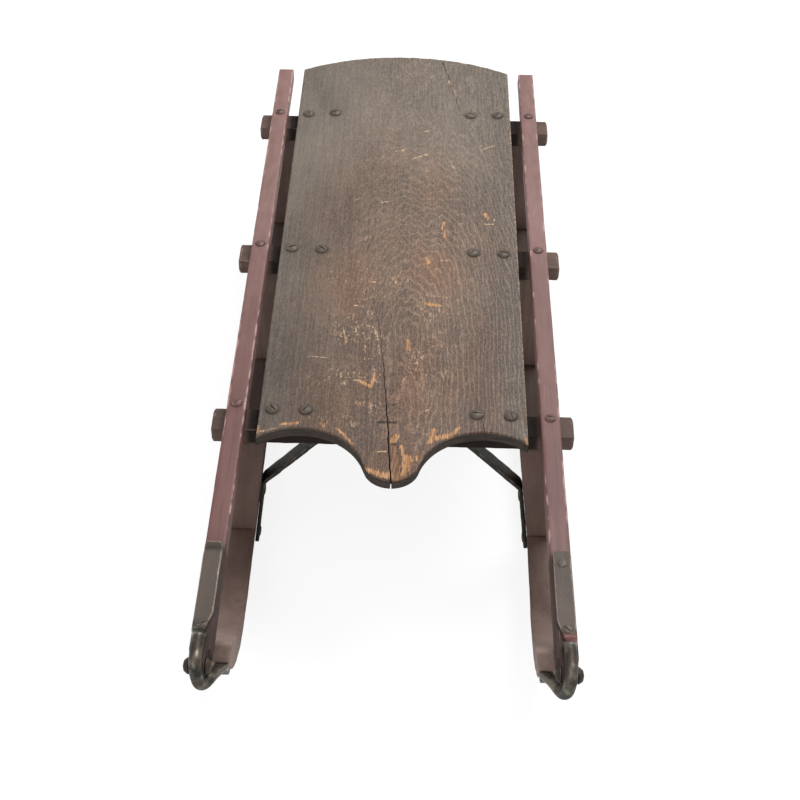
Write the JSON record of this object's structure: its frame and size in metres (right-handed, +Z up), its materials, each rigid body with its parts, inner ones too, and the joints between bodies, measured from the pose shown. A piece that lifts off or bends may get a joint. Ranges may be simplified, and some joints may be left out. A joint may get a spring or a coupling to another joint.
{
  "type": "wooden snow sled",
  "caption": "Antique wooden snow sled: a board deck with an ogee nose on cross beams, splayed posts and runners, painted side rails and iron shoes that wrap the noses.",
  "frame": {"origin": "on the floor, under the middle of the sled's length and width", "axes": "+X to the right seen from the front, +Y from the noses to the tails, +Z up"},
  "size_m": [0.38, 1.1806, 0.2295],
  "materials": {
    "deck_wood": "worn dark stain",
    "rail_paint": "worn maroon paint",
    "frame_wood": "dark worn paint",
    "iron": "dark wrought iron"
  },
  "bodies": {
    "root": {"deck": "deck_wood", "beam_front": "frame_wood", "post_front_left": "frame_wood", "brace_front_left": "iron", "post_front_right": "frame_wood", "brace_front_right": "iron", "beam_middle": "frame_wood", "post_middle_left": "frame_wood", "brace_middle_left": "iron", "post_middle_right": "frame_wood", "brace_middle_right": "iron", "beam_rear": "frame_wood", "post_rear_left": "frame_wood", "brace_rear_left": "iron", "post_rear_right": "frame_wood", "brace_rear_right": "iron", "runner_left": "frame_wood", "runner_right": "frame_wood", "rail_left": "rail_paint", "rail_right": "rail_paint", "shoe_left": "iron", "shoe_right": "iron", "nose_pin_left": "iron", "nose_pin_right": "iron"}
  },
  "joints": []
}
